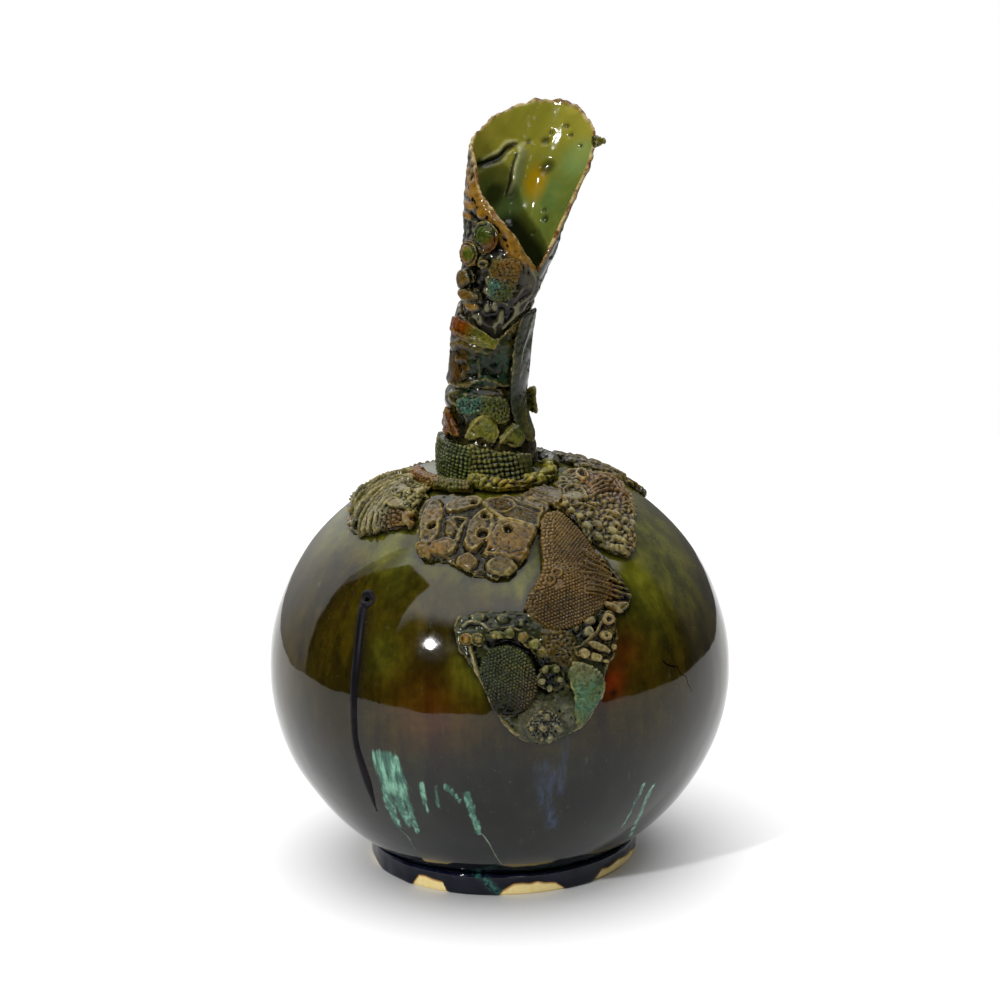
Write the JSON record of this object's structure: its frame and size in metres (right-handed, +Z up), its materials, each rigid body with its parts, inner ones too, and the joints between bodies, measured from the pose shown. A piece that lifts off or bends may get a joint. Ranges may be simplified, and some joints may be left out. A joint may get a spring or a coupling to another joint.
{
  "type": "stoneware bottle vase",
  "caption": "Round glazed bottle vase on a foot ring, with a tall leaning neck that opens into a scoop and a collar of textured clay slabs.",
  "frame": {"origin": "middle of the foot's underside, on the globe's axis", "axes": "+Z up along the globe's axis, -Y to the front, where the shield of clay slabs hangs down, +X to the right, where the neck leans"},
  "size_m": [0.24, 0.245, 0.3912],
  "materials": {
    "olive_glaze": "thick glossy olive-amber glaze over stoneware",
    "ink_glaze": "glossy blue-black glaze with bare clay at the lowest edge",
    "bark_glaze": "glossy brown glaze, breaking to tan on high points",
    "moss_glaze": "glossy mottled green glaze, dark in the recesses",
    "amber_glaze": "glossy amber glaze over impressed texture",
    "sand_glaze": "glossy sand-coloured glaze over impressed texture",
    "jade_glaze": "glossy green-turquoise glaze over impressed texture"
  },
  "bodies": {
    "root": {"foot_ring": "ink_glaze", "globe": "olive_glaze", "neck_tube": "moss_glaze", "neck_sleeve": "moss_glaze", "neck_scoop": "bark_glaze", "neck_side_slab": "moss_glaze", "neck_band": "amber_glaze", "medallion_large": "amber_glaze", "medallion_small": "amber_glaze", "ring_bead": "moss_glaze", "scale_plate_upper": "amber_glaze", "scale_plate_lower": "amber_glaze", "pebble_patch": "moss_glaze", "back_plate_high": "bark_glaze", "back_plate_low": "moss_glaze", "rim_thorn": "moss_glaze", "leaf_left": "sand_glaze", "leaf_right": "sand_glaze", "wing_sprig": "amber_glaze", "pebble_band": "jade_glaze", "side_lug": "moss_glaze", "net_collar_left": "moss_glaze", "net_collar_right": "moss_glaze", "net_coil": "moss_glaze", "crown_coil": "sand_glaze", "side_coil": "moss_glaze", "cloth_fold": "bark_glaze", "ribbed_slab": "bark_glaze", "cell_slab": "bark_glaze", "feather_slab": "sand_glaze", "scale_slab": "moss_glaze", "snakeskin_slab": "bark_glaze", "frill_slab": "amber_glaze", "shield_slab": "jade_glaze", "rosette_upper": "moss_glaze", "rosette_lower": "sand_glaze", "net_disc": "moss_glaze", "petal_slab": "jade_glaze", "brick_band": "sand_glaze", "bead_arc": "moss_glaze", "knob_left": "sand_glaze", "knob_right": "sand_glaze", "back_slab_right": "bark_glaze", "back_slab_middle": "moss_glaze", "back_slab_left": "sand_glaze"}
  },
  "joints": []
}
